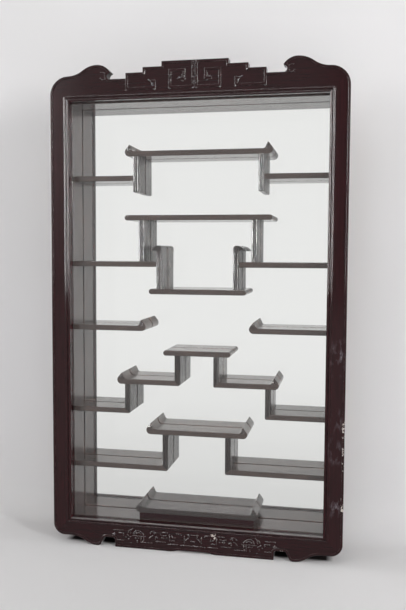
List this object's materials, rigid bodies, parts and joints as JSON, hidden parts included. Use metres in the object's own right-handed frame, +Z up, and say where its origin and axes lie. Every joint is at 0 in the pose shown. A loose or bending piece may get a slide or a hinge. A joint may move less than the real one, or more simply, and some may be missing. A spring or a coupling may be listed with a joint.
{
  "type": "wall display cabinet",
  "caption": "Shallow wall cabinet with a shaped, carved and glazed door, a mirror back and symmetrical stepped shelves for small ornaments.",
  "frame": {"origin": "on the ground, in the middle of the width and of the depth", "axes": "+X to the right seen from the front, +Y from the door towards the wall, +Z up"},
  "size_m": [0.606, 0.089, 0.997],
  "materials": {
    "frame_lacquer": "dark reddish brown lacquer, glossy, worn at the arrises",
    "case_lacquer": "dark brown lacquer, satin",
    "shelf_lacquer": "dark brown lacquer, glossy",
    "back_board": "bare plywood, matt",
    "glass": "clear float glass",
    "mirror_glass": "silvered glass",
    "brass": "satin, slightly tarnished",
    "screw_brass": "satin",
    "catch_steel": "plated"
  },
  "bodies": {
    "case": {"back_panel": "back_board", "back_screws": "screw_brass", "case_floor": "case_lacquer", "case_left_side": "case_lacquer", "case_right_side": "case_lacquer", "case_top": "case_lacquer", "catch_magnet": "catch_steel", "hanger_plates": "brass", "hanger_screws": "screw_brass", "hinge_case_screws": "screw_brass", "hinge_lower_case_leaf": "brass", "hinge_pins": "brass", "hinge_upper_case_leaf": "brass", "lower_bench_left_leg": "shelf_lacquer", "lower_bench_right_leg": "shelf_lacquer", "lower_bench_top": "shelf_lacquer", "lower_left_shelf": "shelf_lacquer", "lower_right_shelf": "shelf_lacquer", "middle_left_shelf": "shelf_lacquer", "middle_right_shelf": "shelf_lacquer", "mirror": "mirror_glass", "pyramid_low_left_shelf": "shelf_lacquer", "pyramid_low_right_shelf": "shelf_lacquer", "pyramid_lower_left_leg": "shelf_lacquer", "pyramid_lower_right_leg": "shelf_lacquer", "pyramid_middle_left_board": "shelf_lacquer", "pyramid_middle_right_board": "shelf_lacquer", "pyramid_top": "shelf_lacquer", "pyramid_upper_left_leg": "shelf_lacquer", "pyramid_upper_right_leg": "shelf_lacquer", "stand_front_board": "shelf_lacquer", "stand_left_end": "shelf_lacquer", "stand_right_end": "shelf_lacquer", "stand_top": "shelf_lacquer", "table_left_leg": "shelf_lacquer", "table_right_leg": "shelf_lacquer", "table_top": "shelf_lacquer", "tray": "shelf_lacquer", "tray_left_upright": "shelf_lacquer", "tray_right_upright": "shelf_lacquer", "upper_bench_left_leg": "shelf_lacquer", "upper_bench_right_leg": "shelf_lacquer", "upper_bench_top": "shelf_lacquer", "upper_left_shelf": "shelf_lacquer", "upper_right_shelf": "shelf_lacquer", "wing_left_shelf": "shelf_lacquer", "wing_right_shelf": "shelf_lacquer"},
    "door": {"catch_strike": "catch_steel", "door_bottom_rail": "frame_lacquer", "door_glass": "glass", "door_left_stile": "frame_lacquer", "door_right_stile": "frame_lacquer", "door_top_rail": "frame_lacquer", "glazing_bead_bottom": "frame_lacquer", "glazing_bead_left": "frame_lacquer", "glazing_bead_right": "frame_lacquer", "glazing_bead_top": "frame_lacquer", "hinge_door_screws": "screw_brass", "hinge_lower_door_leaf": "brass", "hinge_upper_door_leaf": "brass"}
  },
  "joints": [
    {"name": "door_hinge", "type": "hinge", "parent": "case", "child": "door", "pos_m": [-0.2853, -0.0192, 0.5], "axis": [0, 0, -1], "range_deg": [0, 95]}
  ]
}
